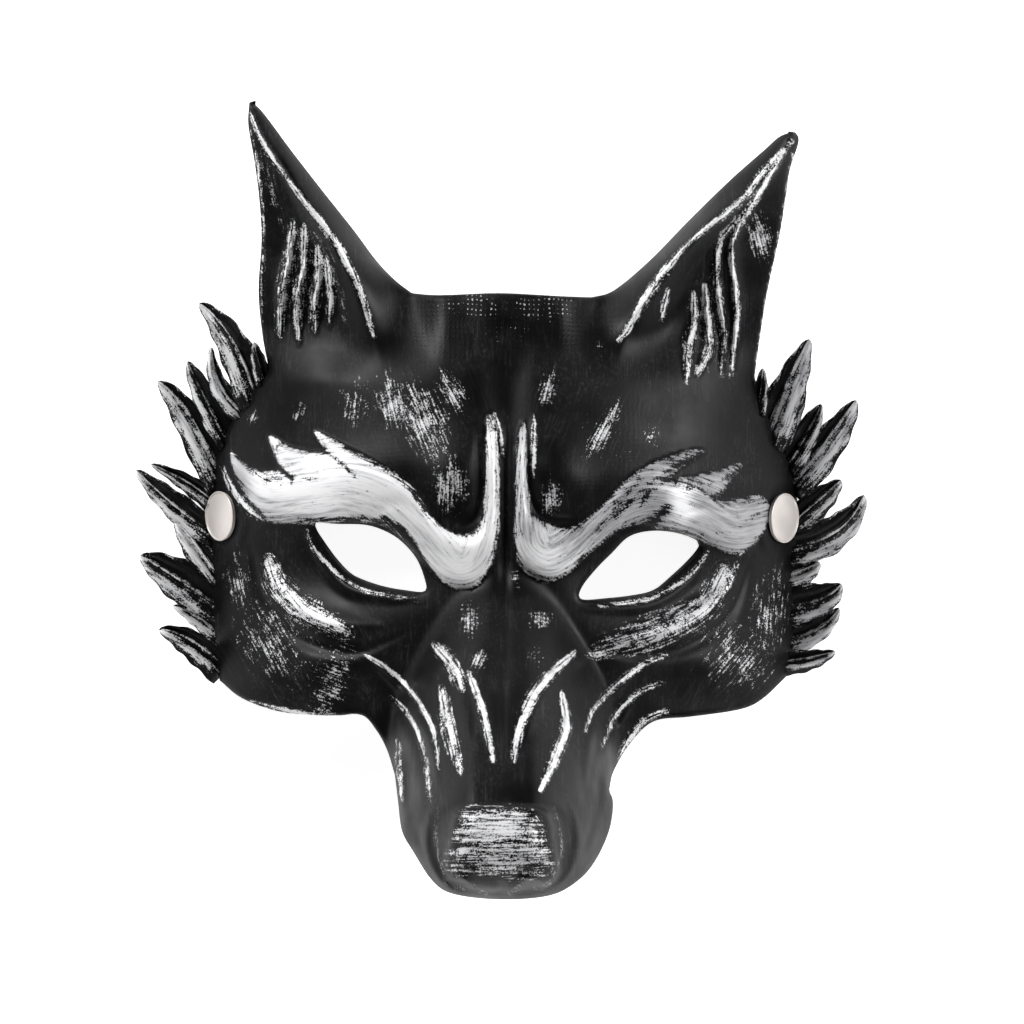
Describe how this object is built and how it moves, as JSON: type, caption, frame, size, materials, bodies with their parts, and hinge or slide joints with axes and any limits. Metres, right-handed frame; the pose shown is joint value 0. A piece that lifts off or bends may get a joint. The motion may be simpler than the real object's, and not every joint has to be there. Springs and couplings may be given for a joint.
{
  "type": "animal half mask",
  "caption": "Half face mask moulded as an angry wolf, with upright ears, a long muzzle, fur locks at the sides, eye holes and a metal snap at each temple.",
  "frame": {"origin": "middle of the bounding box, on the plane that the back rim rests on", "axes": "+Z out of the front of the mask, +Y towards the ears, +X to the right of the front view"},
  "size_m": [0.2198, 0.2388, 0.118],
  "materials": {
    "black_moulding": "satin, dry-brushed with silver",
    "snap_steel": "satin"
  },
  "bodies": {
    "root": {"mask_shell": "black_moulding", "snap_cap_left": "snap_steel", "snap_cap_right": "snap_steel", "snap_stud_left": "snap_steel", "snap_stud_right": "snap_steel"}
  },
  "joints": []
}
